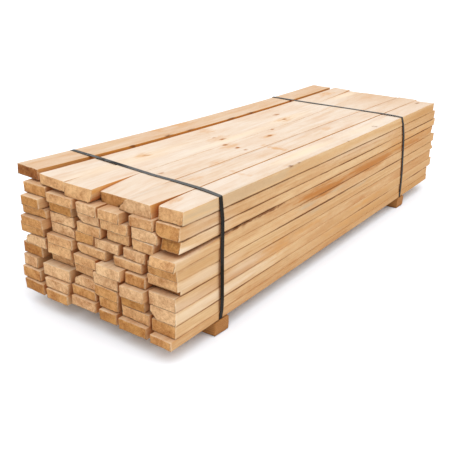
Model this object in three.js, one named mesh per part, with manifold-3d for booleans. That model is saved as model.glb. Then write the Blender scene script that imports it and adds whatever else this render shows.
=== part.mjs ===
// A strapped bundle of rough-sawn pine studs lying on two bearers.
//
// Units are millimetres and +Z is up. The studs run along X. The origin is on the floor, under the middle
// of the bundle. While the bundle is laid up, x runs from the trim line of the near ends, and y runs across
// the bundle from its fair long side (y = 0) to its back; the finished group is then centred on the origin.

import * as THREE from "three";
import { mergeVertices } from "three/addons/utils/BufferGeometryUtils.js";
import Module from "manifold-3d";

const wasm = await Module();
wasm.setup();

// ---------------------------------------------------------------------------------------------------------
// Driving dimensions
// ---------------------------------------------------------------------------------------------------------

// Distance between the two trim lines. The studs are untrimmed, so each end stands past its line.
const TRIM_LENGTH = 2100;

// Two bearers of sawn pine under the bundle.
const BEARER_WIDTH = 75; // along the studs
const BEARER_HEIGHT = 54;
const BEARER_NEAR_X = 182; // middle of the near bearer
const BEARER_FAR_X = 1746; // middle of the far bearer
const BEARER_FRONT_OVERHANG = 6; // past the fair long side
const BEARER_BACK_OVERHANG = 4; // past the back of the lowest layer

// Flat strap, drawn tight round the studs and nipped between them and the bearers.
const STRAP_WIDTH = 19;
const STRAP_THICKNESS = 0.8;
const STRAP_CLEARANCE = 0.1;

// Each strap goes round over a bearer. Its foot, where it crosses the lower front edge of the bundle, lies
// this far along the studs from the middle of its bearer. From there it drifts along the studs for each
// millimetre up (RISE) and for each millimetre across towards the back (CROSS).
const STRAP_NEAR_FROM_BEARER = -5;
const STRAP_NEAR_DRIFT_RISE = -0.012;
const STRAP_NEAR_DRIFT_CROSS = 0.075;
const STRAP_FAR_FROM_BEARER = -8;
const STRAP_FAR_DRIFT_RISE = -0.21;
const STRAP_FAR_DRIFT_CROSS = 0;

// Joined pair of studs: the gap between the two is cut this deep into the ends and the broad faces.
const END_CUT_DEPTH = 90;
const FACE_CUT_DEPTH = 6;
const BRIDGE_BITE = 2; // how far the uncut middle runs into each stud

// The layers, from the packing board at the bottom to the top. In a layer the studs are laid from the fair
// long side to the back. For each stud: gap to its neighbour (in the first column, the distance in from the
// fair side), width, thickness, and how far its near and far ends stand past the trim lines.
// What a stud may also have: a corner lost to the round of the log (its size across and down, by corner), and
// `frontDrop`, how much lower its front edge lies than its back edge, where its layer is uneven under it.
// Two studs may overlap across the bundle where both have lost the corner that they share.
const stud = (gap, width, thickness, near, far, { frontDrop = 0, ...wane } = {}) => ({
  gap, width, thickness, near, far, frontDrop, wane,
});

const LAYERS = [
  {
    name: "packing_board",
    studs: [stud(344, 100, 14, 40, 40)],
  },
  {
    name: "layer11",
    studs: [
      stud(-2, 88, 30, 74, 30),
      stud(18, 118, 41, 70, 46),
      stud(16, 76, 42, 66, 58),
      stud(20, 114, 36, 66, 40),
      stud(19, 106, 39, 72, 62),
      stud(18, 103, 44, 68, 34),
    ],
  },
  {
    name: "layer10",
    studs: [
      stud(-2, 100, 45, 50, 26),
      stud(4, 120, 40, 54, 66),
      stud(18, 84, 40, 54, 48),
      stud(16, 112, 37, 56, 72),
      stud(14, 114, 40, 66, 38),
      stud(32, 96, 42, 62, 54),
    ],
  },
  {
    name: "layer09",
    studs: [
      stud(-2, 104, 45, 50, 68, { lowerBack: [26, 20] }),
      stud(20, 100, 42, 54, 42),
      stud(10, 107, 41, 60, 58),
      stud(7, 98, 38, 50, 36, { upperBack: [22, 15] }),
      stud(22, 132, 46, 54, 64),
      stud(35, 77, 43, 52, 44),
    ],
  },
  {
    name: "layer08",
    studs: [
      stud(-2, 106, 48, 50, 46),
      stud(8, 97, 39, 72, 60),
      stud(22, 110, 43, 58, 34),
      stud(22, 92, 40, 36, 50),
      stud(24, 110, 40, 20, 66),
      stud(28, 102, 43, 40, 40),
    ],
  },
  {
    name: "layer07",
    studs: [
      stud(-2, 118, 16, 22, 76),
      stud(4, 82, 40, 50, 52),
      stud(8, 108, 38, 66, 44),
      stud(14, 103, 37, 54, 62),
      stud(22, 119, 41, 46, 36),
      stud(10, 108, 40, 46, 58, { upperBack: [20, 16] }),
    ],
  },
  {
    name: "layer06",
    studs: [
      stud(-2, 120, 31, 38, 48),
      stud(20, 119, 35, 42, 60),
      stud(38, 133, 35, 41, 42, { lowerBack: [16, 12] }),
      stud(17, 125, 36, 50, 54),
      stud(27, 117, 41, 44, 66),
    ],
  },
  {
    name: "layer05",
    studs: [
      stud(-2, 118, 43, 40, 72),
      stud(12, 93, 36, 36, 48),
      stud(19, 110, 35, 36, 56),
      stud(8, 83, 38, 32, 64),
      stud(4, 118, 39, 32, 38, { upperFront: [16, 10] }),
      stud(6, 110, 37, 68, 50),
    ],
  },
  {
    name: "layer04",
    studs: [
      stud(-2, 94, 46, 56, 26),
      stud(2, 90, 38, 32, 60),
      stud(22, 97, 36, 22, 52),
      stud(14, 111, 37, 38, 44),
      stud(18, 114, 37, 34, 62),
      stud(5, 119, 37, 50, 40, { upperFront: [14, 9] }),
    ],
  },
  {
    name: "layer03",
    studs: [
      stud(-2, 74, 39, 22, 55),
      stud(8, 104, 39, 32, 44, { upperFront: [15, 12] }),
      stud(14, 120, 37, 36, 66),
      stud(4, 98, 37, 36, 50, { lowerBack: [18, 14] }),
      stud(28, 114, 39, 36, 58),
      stud(14, 92, 37, 68, 36),
    ],
  },
  {
    name: "layer02",
    studs: [
      stud(-2, 95, 45, 24, 40, { lowerBack: [17, 12] }),
      stud(6, 93, 36, 32, 62),
      stud(30, 90, 36, 48, 48),
      stud(6, 92, 38, 50, 56),
      stud(16, 126, 36, 52, 44),
      stud(10, 118, 41, 42, 60),
    ],
  },
  {
    name: "top",
    studs: [
      stud(-2, 107, 43, 8, 7),
      stud(2, 148, 44, 18, 43, { upperBack: [36, 36] }),
      stud(-32, 117, 44, 0, 24, { lowerFront: [45, 40] }),
      stud(5, 117, 42, 38, 18, { lowerFront: [12, 24] }),
      stud(2, 126, 38, 38, 18, { frontDrop: 12 }),
      stud(28, 114, 39, 18, 18, { frontDrop: 3 }),
    ],
  },
];

// Studs of these places in a full layer are made as one solid, because they are in the middle of the bundle.
const PAIRED_PLACES = [3, 4];
const FULL_LAYER_COUNT = 5; // layers with fewer studs have no pair

const PINE_FACE = 0xecc998;
const PINE_BEARER = 0xb88450;
const STRAP_BLACK = 0x2b2d30;
const PINE_ROUGHNESS = 0.75;
const STRAP_ROUGHNESS = 0.45;

// ---------------------------------------------------------------------------------------------------------
// Laying up: each stud comes down on the studs that are already under it
// ---------------------------------------------------------------------------------------------------------

const STUD_BED_Z = BEARER_HEIGHT + STRAP_THICKNESS + 2 * STRAP_CLEARANCE;

// How far one face of a stud reaches across the bundle, between the corners that it has lost.
function reachOf({ front, back, wane }, level) {
  return {
    front: front + (wane[`${level}Front`]?.[0] ?? 0),
    back: back - (wane[`${level}Back`]?.[0] ?? 0),
  };
}

function layUp(layers) {
  const laid = [];
  for (const layer of layers) {
    let y = 0;
    const row = layer.studs.map((size, index) => {
      const front = y + size.gap;
      const back = front + size.width;
      y = back;
      const own = reachOf({ ...size, front, back }, "lower");
      const under = laid.filter((other) => {
        const bearing = reachOf(other, "upper");
        return bearing.front < own.back && bearing.back > own.front;
      });
      const slope = size.frontDrop / size.width;
      const seats = under.map((other) => other.top + slope * (back - Math.max(front, other.front)));
      const bottom = Math.max(STUD_BED_Z, ...seats);
      const top = bottom + size.thickness;
      return { ...size, layer: layer.name, place: index + 1, front, back, bottom, top };
    });
    laid.push(...row);
  }
  return laid;
}

// ---------------------------------------------------------------------------------------------------------
// Shapes
// ---------------------------------------------------------------------------------------------------------

// An outline in the plane across the studs (shape x is y, shape y is z), extruded along the studs.
function extrudeAlong(outline, startX, endX, hole) {
  const shape = new THREE.Shape(outline.map(([y, z]) => new THREE.Vector2(y, z)));
  if (hole) shape.holes.push(new THREE.Path(hole.map(([y, z]) => new THREE.Vector2(y, z))));
  const geometry = new THREE.ExtrudeGeometry(shape, { depth: endX - startX, bevelEnabled: false, steps: 1 });
  const toBundle = new THREE.Matrix4().set(0, 0, 1, startX, 1, 0, 0, 0, 0, 1, 0, 0, 0, 0, 0, 1);
  return geometry.applyMatrix4(toBundle);
}

function sectionOf(size) {
  const { front, back, bottom, top, width, frontDrop, wane } = size;
  const lean = ([y, z]) => [y, z - (frontDrop * (back - y)) / width];
  const corner = (y, z, towardsY, towardsZ, cut, alongFirst) => {
    if (!cut) return [lean([y, z])];
    const onFace = lean([y + towardsY * cut[0], z]);
    const onEdge = lean([y, z + towardsZ * cut[1]]);
    return alongFirst ? [onFace, onEdge] : [onEdge, onFace];
  };
  return [
    ...corner(front, bottom, 1, 1, wane.lowerFront, false),
    ...corner(back, bottom, -1, 1, wane.lowerBack, true),
    ...corner(back, top, -1, -1, wane.upperBack, false),
    ...corner(front, top, 1, -1, wane.upperFront, true),
  ];
}

const studGeometry = (size) => extrudeAlong(sectionOf(size), -size.near, TRIM_LENGTH + size.far);

function toSolid(geometry) {
  const bare = geometry.clone();
  bare.deleteAttribute("normal");
  bare.deleteAttribute("uv");
  const merged = mergeVertices(bare);
  return new wasm.Manifold(
    new wasm.Mesh({
      numProp: 3,
      vertProperties: new Float32Array(merged.attributes.position.array),
      triVerts: new Uint32Array(merged.index.array),
    }),
  );
}

function toGeometry(solid) {
  const mesh = solid.getMesh();
  const geometry = new THREE.BufferGeometry();
  geometry.setAttribute("position", new THREE.BufferAttribute(new Float32Array(mesh.vertProperties), 3));
  geometry.setIndex(new THREE.BufferAttribute(new Uint32Array(mesh.triVerts), 1));
  const flat = geometry.toNonIndexed();
  flat.computeVertexNormals();
  return flat;
}

// Two neighbours as one solid: the gap between them is cut into its ends and its broad faces.
function pairGeometry(first, second) {
  const bottom = Math.max(first.bottom, second.bottom) + FACE_CUT_DEPTH;
  const top = Math.min(first.top, second.top) - FACE_CUT_DEPTH;
  const front = first.back - BRIDGE_BITE;
  const back = second.front + BRIDGE_BITE;
  const startX = Math.max(-first.near, -second.near) + END_CUT_DEPTH;
  const endX = TRIM_LENGTH + Math.min(first.far, second.far) - END_CUT_DEPTH;
  const bridge = extrudeAlong([[front, bottom], [back, bottom], [back, top], [front, top]], startX, endX);
  return toGeometry(toSolid(studGeometry(first)).add(toSolid(studGeometry(second))).add(toSolid(bridge)));
}

// The taut outline round the studs, anticlockwise.
function tautOutline(studs) {
  const points = studs.flatMap(sectionOf).sort((a, b) => a[0] - b[0] || a[1] - b[1]);
  const turn = (o, a, b) => (a[0] - o[0]) * (b[1] - o[1]) - (a[1] - o[1]) * (b[0] - o[0]);
  const halfHull = (ordered) => {
    const hull = [];
    for (const point of ordered) {
      while (hull.length > 1 && turn(hull.at(-2), hull.at(-1), point) <= 0) hull.pop();
      hull.push(point);
    }
    return hull.slice(0, -1);
  };
  return [...halfHull(points), ...halfHull([...points].reverse())];
}

// A convex outline with each edge moved outwards, and its neighbours met again at the corners.
function grow(outline, distance) {
  return outline.map((point, index) => {
    const before = outline.at(index - 1);
    const after = outline[(index + 1) % outline.length];
    const edgeIn = new THREE.Vector2(point[0] - before[0], point[1] - before[1]).normalize();
    const edgeOut = new THREE.Vector2(after[0] - point[0], after[1] - point[1]).normalize();
    const normalIn = new THREE.Vector2(edgeIn.y, -edgeIn.x);
    const normalOut = new THREE.Vector2(edgeOut.y, -edgeOut.x);
    const mitre = normalIn.clone().add(normalOut);
    mitre.multiplyScalar(distance / (1 + normalIn.dot(normalOut)));
    return [point[0] + mitre.x, point[1] + mitre.y];
  });
}

// A flat strap drawn round the bundle in a plane that leans a little along the studs.
function strapGeometry(studs, footX, driftRise, driftCross) {
  const taut = tautOutline(studs);
  const inside = grow(taut, STRAP_CLEARANCE);
  const outside = grow(taut, STRAP_CLEARANCE + STRAP_THICKNESS);
  const start = footX - STRAP_WIDTH / 2;
  const ring = extrudeAlong(outside, start, start + STRAP_WIDTH, inside);
  const lean = new THREE.Matrix4().set(
    1, driftCross, driftRise, -driftRise * STUD_BED_Z,
    0, 1, 0, 0,
    0, 0, 1, 0,
    0, 0, 0, 1,
  );
  return ring.applyMatrix4(lean);
}

function bearerGeometry(studs, middleX) {
  const onBearer = studs.filter((size) => size.bottom === STUD_BED_Z);
  const back = Math.max(...onBearer.map((size) => size.back)) + BEARER_BACK_OVERHANG;
  const outline = [
    [-BEARER_FRONT_OVERHANG, 0],
    [back, 0],
    [back, BEARER_HEIGHT],
    [-BEARER_FRONT_OVERHANG, BEARER_HEIGHT],
  ];
  return extrudeAlong(outline, middleX - BEARER_WIDTH / 2, middleX + BEARER_WIDTH / 2);
}

// ---------------------------------------------------------------------------------------------------------
// The bundle
// ---------------------------------------------------------------------------------------------------------

const bundle = new THREE.Group();

function addPiece(name, geometry, color, roughness) {
  const mesh = new THREE.Mesh(geometry, new THREE.MeshStandardMaterial({ color, roughness, metalness: 0 }));
  mesh.name = name;
  bundle.add(mesh);
}

function addStuds(studs) {
  for (const layer of LAYERS) {
    const row = studs.filter((size) => size.layer === layer.name);
    const hasPair = row.length > FULL_LAYER_COUNT;
    const pair = hasPair ? row.filter((size) => PAIRED_PLACES.includes(size.place)) : [];
    for (const size of row) {
      if (pair.includes(size)) continue;
      const name = row.length > 1 ? `${layer.name}_stud_${size.place}` : layer.name;
      addPiece(name, studGeometry(size), PINE_FACE, PINE_ROUGHNESS);
    }
    if (hasPair) {
      const name = `${layer.name}_studs_${PAIRED_PLACES.join("_")}`;
      addPiece(name, pairGeometry(...pair), PINE_FACE, PINE_ROUGHNESS);
    }
  }
}

const studs = layUp(LAYERS);
addStuds(studs);
const bearerNear = bearerGeometry(studs, BEARER_NEAR_X);
const bearerFar = bearerGeometry(studs, BEARER_FAR_X);
addPiece("bearer_near", bearerNear, PINE_BEARER, PINE_ROUGHNESS);
addPiece("bearer_far", bearerFar, PINE_BEARER, PINE_ROUGHNESS);

const strapNearFootX = BEARER_NEAR_X + STRAP_NEAR_FROM_BEARER;
const strapFarFootX = BEARER_FAR_X + STRAP_FAR_FROM_BEARER;
const strapNear = strapGeometry(studs, strapNearFootX, STRAP_NEAR_DRIFT_RISE, STRAP_NEAR_DRIFT_CROSS);
const strapFar = strapGeometry(studs, strapFarFootX, STRAP_FAR_DRIFT_RISE, STRAP_FAR_DRIFT_CROSS);
addPiece("strap_near", strapNear, STRAP_BLACK, STRAP_ROUGHNESS);
addPiece("strap_far", strapFar, STRAP_BLACK, STRAP_ROUGHNESS);

// Centre the bundle on the origin, lying on the floor.
const extent = new THREE.Box3().setFromObject(bundle);
bundle.position.set(-(extent.min.x + extent.max.x) / 2, -(extent.min.y + extent.max.y) / 2, -extent.min.z);

export default bundle;
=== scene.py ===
"""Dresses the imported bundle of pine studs: sawn boards, bearers, strapping, floor, light and camera.

Everything is in metres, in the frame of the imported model: the studs run along X, the fair long side faces
-Y, the near ends face -X, and the bearers stand on the floor at z = 0.
"""

from __future__ import annotations

import logging
import math
import random
from dataclasses import dataclass, field
from enum import Enum
from typing import Any, Mapping, Sequence

import bmesh
import bpy
from mathutils import Matrix, Vector

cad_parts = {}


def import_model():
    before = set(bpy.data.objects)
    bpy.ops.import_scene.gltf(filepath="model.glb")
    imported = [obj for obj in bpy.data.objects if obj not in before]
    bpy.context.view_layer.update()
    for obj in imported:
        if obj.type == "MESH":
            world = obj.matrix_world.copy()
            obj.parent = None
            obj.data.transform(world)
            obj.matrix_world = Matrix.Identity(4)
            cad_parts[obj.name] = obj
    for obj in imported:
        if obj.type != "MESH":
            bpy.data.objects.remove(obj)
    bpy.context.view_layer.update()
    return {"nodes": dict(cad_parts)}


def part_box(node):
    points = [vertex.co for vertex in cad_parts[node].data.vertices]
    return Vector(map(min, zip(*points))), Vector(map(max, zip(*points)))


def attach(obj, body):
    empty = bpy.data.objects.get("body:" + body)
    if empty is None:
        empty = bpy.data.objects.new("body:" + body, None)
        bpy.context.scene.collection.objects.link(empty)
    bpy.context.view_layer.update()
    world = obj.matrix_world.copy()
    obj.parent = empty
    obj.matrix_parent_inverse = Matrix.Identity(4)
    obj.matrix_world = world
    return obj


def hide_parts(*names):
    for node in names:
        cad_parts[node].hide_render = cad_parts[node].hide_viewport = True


LOG = logging.getLogger("bundle")
MM = 0.001

Tree, Socket = bpy.types.NodeTree, bpy.types.NodeSocket
Object, Mesh, Material = bpy.types.Object, bpy.types.Mesh, bpy.types.Material
Pair = tuple[float, float]
Triple = tuple[float, float, float]

# Kinds of node that are used many times. The operation of a maths node follows its name. A range takes a
# value, the two ends that it comes from and the two that it goes to. A noise takes a place, a fourth
# dimension that stays unused, and its scale, detail and roughness.
OPERATIONS = "ADD SUBTRACT MULTIPLY MULTIPLY_ADD DIVIDE MINIMUM MAXIMUM POWER ABSOLUTE".split()
ADD, SUB, MUL, MUL_ADD, DIV, MIN, MAX, POWER, ABS = (f"ShaderNodeMath {o}" for o in OPERATIONS)
V_ADD, V_SUB, V_MUL, V_MUL_ADD, V_DIV, V_MIN, V_MAX, V_POWER, V_ABS = (
    f"ShaderNodeVectorMath {o}" for o in OPERATIONS
)
V_DOT, V_LENGTH = "ShaderNodeVectorMath DOT_PRODUCT", "ShaderNodeVectorMath LENGTH"
MIX, RANGE, NOISE, JOIN_XYZ, SPLIT_XYZ, ATTRIBUTE = (
    f"ShaderNode{n}" for n in "Mix MapRange TexNoise CombineXYZ SeparateXYZ Attribute".split()
)
SET_MATERIAL = "GeometryNodeSetMaterial"

# Settings of a mix of two colours, which are its inputs 6 and 7, and of a soft step.
BLEND = {"out": 2, "data_type": "RGBA"}
SHADE = {**BLEND, "blend_type": "MULTIPLY"}
SOFT = {"interpolation_type": "SMOOTHSTEP"}

# Named attributes that the boards carry for their materials.
GRAIN = "grain"  # place in the board: along, across, through, from its middle, in metres
BOARD = "board"  # tone, brownness and seed of the board
TINT = "tint"  # colour of the board's ends
HEART = "heart"  # how dark the heart of its ends is
EDGES = "edges"  # distance in from the nearest arris of an end, of a long face, and from the end, in metres
IS_END = "is end"  # whether a face is one of the board's two ends

ORIGIN = (0.0, 0.0, 0.0)
NO_WANE = (0.01 * MM, 0.01 * MM)  # a lost corner too small to see

# Where the lay-up's origin is in the frame: trim line, fair long side and stud bed.
LAY_UP_ORIGIN = (-1.051, -0.36345, 0.055)


class EndTone(Enum):
    """How an end face is coloured."""

    PALE = "#F8CD9A"
    TAN = "#F2C188"
    ORANGE = "#E3AB6A"
    BROWN = "#D49A56"
    DARK = "#B67A40"


class Slot(Enum):
    """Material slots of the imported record."""

    STUD = "stud"
    BEARER = "bearer"
    STRAP = "strap"


class MarkKind(Enum):
    """What a mark on a board's face is: its colour, and how far a noise breaks it up.

    The order is that in which they are painted. The noise is a long soft one where soft is true.
    """

    # A darker tone of single boards, and painted shade at the far end, where the light falls off.
    MELLOW = ("#B98A54", 1.2, True)
    # Pale wood; two marks on layer04 use it as a painted highlight where the board above shades it.
    PALE = ("#E0CCB0", 1.2, True)
    STAIN = ("#B39C7E", 3.6, True)
    PITCH = ("#C48C4A", 3.4, False)
    HEARTWOOD = ("#AC6C2A", 3.6, True)
    # Resin, and painted warm light bounced between the boards, on the flanks in the gaps.
    RESIN = ("#CC8A3A", 1.2, False)
    # Dark marks, and painted shade deep in the gap between layer03 and layer04.
    BARK = ("#74451E", 3.4, False)
    KNOT = ("#9C5A08", 3.0, False)
    # Painted shadow: dark dashes along the joints where an upper board overhangs the one below.
    SEAM = ("#7A4A1E", 2.4, False)

    def __init__(self, colour: str, broken: float, soft: bool) -> None:
        """Names the three values."""
        self.colour, self.broken, self.soft = colour, broken, soft


def linear(hex_colour: str) -> tuple[float, float, float, float]:
    """Turns an sRGB hex colour to linear.

    Args:
        hex_colour: A hash and six hex digits.

    Returns:
        Red, green, blue and an alpha of one.
    """
    parts = [int(hex_colour[i : i + 2], 16) / 255 for i in (1, 3, 5)]
    low = [p / 12.92 if p <= 0.04045 else ((p + 0.055) / 1.055) ** 2.4 for p in parts]
    return (low[0], low[1], low[2], 1.0)


def add(tree: Tree, kind: str, *values: Any, out: int | str = 0, **settings: Any) -> Socket:
    """Adds a node with its settings and links.

    Args:
        tree: The tree that the node goes into.
        kind: Blender's name for the node, and its operation.
        *values: What its inputs are given in their order: a socket, a value, a hex colour, or None for one
            left alone. A mapping gives inputs by name or number. One number does for a vector.
        out: The output that is given back.
        **settings: The node's own properties.

    Returns:
        The chosen output socket, or the first input of a node that has no output.
    """
    name, _, operation = kind.partition(" ")
    node = tree.nodes.new(name)
    if operation:
        node.operation = operation
    for key, value in settings.items():
        setattr(node, key, value)
    inputs: dict[int | str, Any] = {}
    for place, value in enumerate(values):
        inputs |= value if isinstance(value, Mapping) else {place: value}
    for key, value in inputs.items():
        socket = node.inputs[key]
        if isinstance(value, Socket):
            tree.links.new(value, socket)
        elif isinstance(value, str) and value.startswith("#"):
            socket.default_value = linear(value)
        elif isinstance(value, float) and socket.type == "VECTOR":
            socket.default_value = (value, value, value)
        elif value is not None:
            socket.default_value = value
    return node.outputs[out] if node.outputs else node.inputs[0]


# ---- Finishes ----


@dataclass(frozen=True)
class Finish:
    """A procedural finish: a principled shader whose colour and relief a subclass paints."""

    name: str = "finish"
    roughness: float = 0.9
    gloss: float = 0.2  # the shader's specular level
    relief: float = 0.0  # the bump's strength
    relief_depth: float = 1 * MM

    def build(self) -> Material:
        """Builds the material.

        Returns:
            The material.
        """
        material = bpy.data.materials.new(self.name)
        material.use_nodes = True
        tree = material.node_tree
        tree.nodes.clear()
        given = {"Roughness": self.roughness, "Specular IOR Level": self.gloss, **self.paint(tree)}
        if "Height" in given:
            bump = {"Strength": self.relief, "Distance": self.relief_depth, "Height": given.pop("Height")}
            given["Normal"] = add(tree, "ShaderNodeBump", bump)
        add(tree, "ShaderNodeOutputMaterial", add(tree, "ShaderNodeBsdfPrincipled", given))
        return material

    def paint(self, t: Tree) -> dict[str, Any]:
        """Adds the finish's pattern.

        Args:
            t: The material's tree.

        Returns:
            What the shader's inputs are given, by name, and the height of the relief.
        """
        raise NotImplementedError


@dataclass(frozen=True)
class Mark:
    """One mark on a board's face: where it is and how far it reaches, in lay-up millimetres.

    Lay-up x runs from the trim line of the near ends, y from the fair long side, z up from the stud bed.
    """

    kind: MarkKind
    place: Triple
    reach: Triple
    strength: float = 1.0


@dataclass(frozen=True)
class PineFigure:
    """The figure that a flat-sawn pine board shows: growth rings cut by the board's faces."""

    ring_spacing: float = 6.5 * MM  # pine has 2 to 4 mm; drawn coarser, so that it shows
    ring_taper: float = 0.007  # the rings' lean along the log, which closes them into arches
    ring_waver: float = 7 * MM
    pith_spread: float = 150 * MM
    latewood: Pair = (0.35, 0.9)  # where in a ring it sets in, and is full
    ring_edge: Pair = (0.93, 1.0)  # where it ends, at the next ring
    seed_step: Triple = (13.0, 7.0, 5.0)  # how far the figure moves from one seed to the next

    def draw(self, t: Tree) -> tuple[Socket, ...]:
        """Adds the board's own coordinates and its growth rings.

        Args:
            t: The material's tree.

        Returns:
            The place in the board, the same shifted by the board's seed, the board's tone and brownness, and
            the rings: 0 in the pale earlywood, 1 in the dark latewood.
        """
        place, board = (add(t, ATTRIBUTE, out="Vector", attribute_name=name) for name in (GRAIN, BOARD))
        tone, brown, seed = add(t, SPLIT_XYZ, board).node.outputs
        shifted = add(t, V_ADD, place, add(t, V_MUL, self.seed_step, seed))
        chance = add(t, "ShaderNodeTexWhiteNoise", {"W": seed}, out="Color", noise_dimensions="1D")
        spread = (0.0, self.pith_spread * 0.6, self.pith_spread)
        pith = add(t, V_MUL, add(t, V_SUB, chance, 0.5), spread)
        flat = add(t, V_MUL, add(t, V_SUB, place, pith), (0.0, 1.0, 1.0))
        radius = add(t, V_LENGTH, flat, out=1)
        radius = add(t, MUL_ADD, add(t, SPLIT_XYZ, place), self.ring_taper, radius)
        waver = add(t, NOISE, add(t, V_MUL, shifted, (0.9, 7.0, 7.0)), None, 1.0, 3.0, 0.55)
        radius = add(t, MUL_ADD, waver, self.ring_waver * 2, radius)
        part = add(t, "ShaderNodeMath FRACT", add(t, MUL, radius, 1 / self.ring_spacing))
        late = add(t, RANGE, part, *self.latewood, **SOFT)
        edge = add(t, RANGE, part, *self.ring_edge, 1.0, 0.0, **SOFT)
        return place, shifted, tone, brown, add(t, MUL, late, edge)


@dataclass(frozen=True)
class PaintedShade:
    """Painted shade of the joints: brown dark where other wood is close."""

    reach: float
    clear: float  # how open a place may be and still be shaded
    shut: float  # how open it is where the shade is full
    depth: float
    shade: str


@dataclass(frozen=True)
class PaintedShades:
    """Painted shade: a narrow reach draws thin dark joint lines, a wide one deepens the hollows between the
    ends.
    """

    wide: PaintedShade = PaintedShade(40 * MM, 0.62, 0.12, 0.7, "#7A4C24")
    narrow: PaintedShade = PaintedShade(7 * MM, 0.55, 0.15, 0.9, "#6E421B")

    def darken(self, t: Tree, colour: Socket, broken: Socket) -> Socket:
        """Adds the painted shade of the joints to a colour.

        Args:
            t: The material's tree.
            colour: The colour of the open surface.
            broken: A noise that breaks the joint lines up, from 0 to 1.

        Returns:
            The colour, darker where other wood is close.
        """
        for one, share in ((self.wide, 1.0), (self.narrow, add(t, RANGE, broken, 0.38, 0.58, 0.3, 1.0))):
            near = add(t, "ShaderNodeAmbientOcclusion", {"Distance": one.reach}, out="AO", samples=6)
            near = add(t, MUL, add(t, RANGE, near, one.clear, one.shut, 0.0, one.depth, **SOFT), share)
            colour = add(t, MIX, {0: near, 6: colour, 7: one.shade}, **SHADE)
        return colour


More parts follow.
